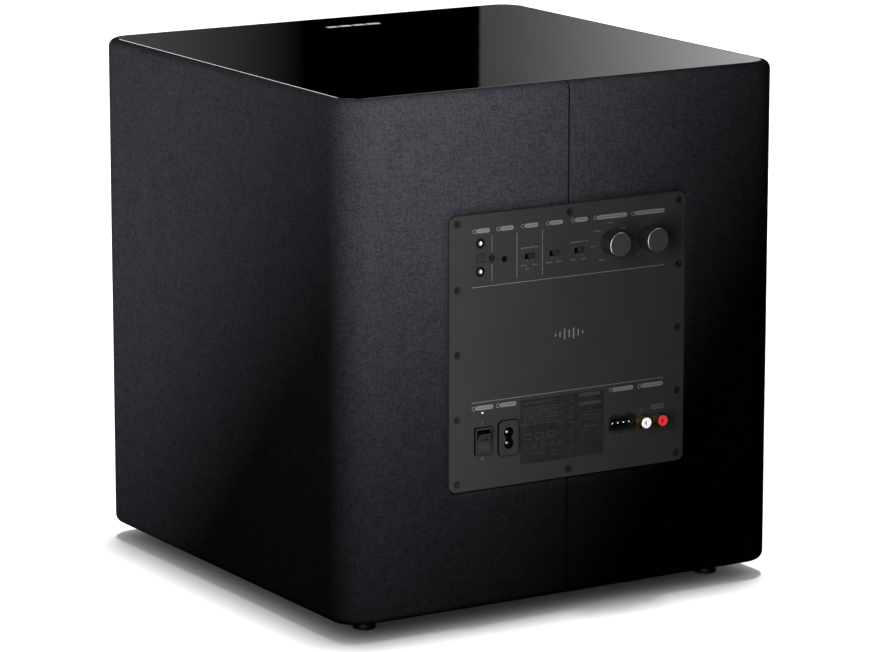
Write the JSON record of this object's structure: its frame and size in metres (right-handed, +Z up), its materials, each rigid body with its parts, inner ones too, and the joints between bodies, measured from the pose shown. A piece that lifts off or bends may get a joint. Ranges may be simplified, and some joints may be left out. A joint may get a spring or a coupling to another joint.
{
  "type": "subwoofer",
  "caption": "Powered subwoofer: near-cubic closed cabinet wrapped in dark fabric, gloss top, low-frequency driver at the front, recessed amplifier plate at the rear.",
  "frame": {"origin": "on the floor, under the middle of the whole envelope", "axes": "+Z up, -Y towards the driver side, +Y towards the amplifier plate, +X to the right seen from the driver side"},
  "size_m": [0.3936, 0.41, 0.413],
  "materials": {
    "mdf": "sawn medium-density board",
    "grille_plastic": "moulded black",
    "gloss_black": "polished black lacquer",
    "charcoal_fabric": "tight plain-weave polyester cloth",
    "wadding": "polyester fibre filling",
    "foot_rubber": "matt rubber",
    "black_plastic": "moulded black",
    "dark_steel": "blackened steel",
    "foam": "closed-cell foam",
    "cast_black": "black powder-coated casting",
    "surround_rubber": "butyl rubber",
    "cone_paper": "black fibre-filled cone",
    "bare_aluminium": "bare aluminium",
    "copper_winding": "enamelled copper wire",
    "spider_cloth": "resin-stiffened cloth",
    "zinc_steel": "zinc-plated steel",
    "ferrite": "ground ferrite",
    "plate_paint": "satin dark grey powder coat",
    "black_screws": "black oxide",
    "knob_plastic": "satin black with a bright chamfer",
    "switch_plastic": "moulded black",
    "circuit_board": "green solder mask",
    "socket_plastic": "semi-gloss black nylon",
    "nickel": "nickel plate",
    "gold": "gold plate",
    "white_plastic": "white moulded plastic",
    "red_plastic": "red moulded plastic",
    "led_white": "clear lens over a white indicator",
    "label_film": "printed polyester film",
    "brass_metal": "turned brass",
    "black_aluminium": "black anodised",
    "transformer_tape": "yellow polyester tape",
    "capacitor_sleeve": "shrink sleeve",
    "wire_jacket": "PVC insulation"
  },
  "bodies": {
    "cabinet": {"left_side_panel": "mdf", "right_side_panel": "mdf", "front_baffle": "mdf", "rear_panel": "mdf", "top_board": "mdf", "bottom_board": "mdf", "window_brace": "mdf", "grille_frame": "grille_plastic", "top_plate": "gloss_black", "fabric_wrap": "charcoal_fabric", "damping_wadding": "wadding", "foot_pads": "foot_rubber", "feet": "black_plastic", "foot_screws": "dark_steel", "driver_gasket": "foam", "driver_basket": "cast_black", "driver_screws": "dark_steel", "surround": "surround_rubber", "spider": "spider_cloth", "front_pole_plate": "zinc_steel", "magnet_ring": "ferrite", "pole_yoke": "zinc_steel", "driver_terminals": "black_plastic", "amp_gasket": "foam", "amp_plate": "plate_paint", "amp_screws": "black_screws", "amp_cover": "zinc_steel", "potentiometers": "zinc_steel", "slide_switch_bodies": "black_plastic", "control_circuit_board": "circuit_board", "rocker_housing": "socket_plastic", "mains_inlet": "socket_plastic", "inlet_pins": "nickel", "terminal_header": "black_plastic", "header_pins": "nickel", "jack_barrels": "gold", "white_jack_lining": "white_plastic", "red_jack_lining": "red_plastic", "trigger_jack": "black_plastic", "expansion_inserts": "nickel", "led_lens": "led_white", "info_label": "label_film", "board_standoffs": "brass_metal", "main_circuit_board": "circuit_board", "heat_sink": "black_aluminium", "power_transformer": "transformer_tape", "reservoir_capacitors": "capacitor_sleeve", "speaker_wires": "wire_jacket"},
    "cone_assembly": {"cone": "cone_paper", "dust_cap": "cone_paper", "voice_coil_former": "bare_aluminium", "voice_coil": "copper_winding"},
    "crossover_control": {"crossover_knob": "knob_plastic", "crossover_shaft": "bare_aluminium"},
    "volume_control": {"volume_knob": "knob_plastic", "volume_shaft": "bare_aluminium"},
    "eq_switch": {"eq_switch_tab": "switch_plastic"},
    "phase_switch": {"phase_switch_tab": "switch_plastic"},
    "mode_switch": {"mode_switch_tab": "switch_plastic"},
    "power_switch": {"power_rocker": "socket_plastic"}
  },
  "joints": [
    {"name": "cone_excursion", "type": "slide", "parent": "cabinet", "child": "cone_assembly", "axis": [0, -1, 0], "range_m": [-0.009, 0.009], "stiffness_N_per_m": 3000, "deforming": ["surround", "spider"]},
    {"name": "crossover_turn", "type": "hinge", "parent": "cabinet", "child": "crossover_control", "pos_m": [-0.037, 0.19025, 0.2863], "axis": [0, 1, 0], "range_deg": [-150, 150]},
    {"name": "volume_turn", "type": "hinge", "parent": "cabinet", "child": "volume_control", "pos_m": [-0.0713, 0.19025, 0.2863], "axis": [0, 1, 0], "range_deg": [-150, 150]},
    {"name": "eq_slide", "type": "slide", "parent": "cabinet", "child": "eq_switch", "axis": [1, 0, 0], "range_m": [0, 0.004]},
    {"name": "phase_slide", "type": "slide", "parent": "cabinet", "child": "phase_switch", "axis": [1, 0, 0], "range_m": [0, 0.004]},
    {"name": "mode_slide", "type": "slide", "parent": "cabinet", "child": "mode_switch", "axis": [1, 0, 0], "range_m": [0, 0.004]},
    {"name": "power_rock", "type": "hinge", "parent": "cabinet", "child": "power_switch", "pos_m": [0.0775, 0.18625, 0.1447], "axis": [1, 0, 0], "range_deg": [0, 20]}
  ]
}
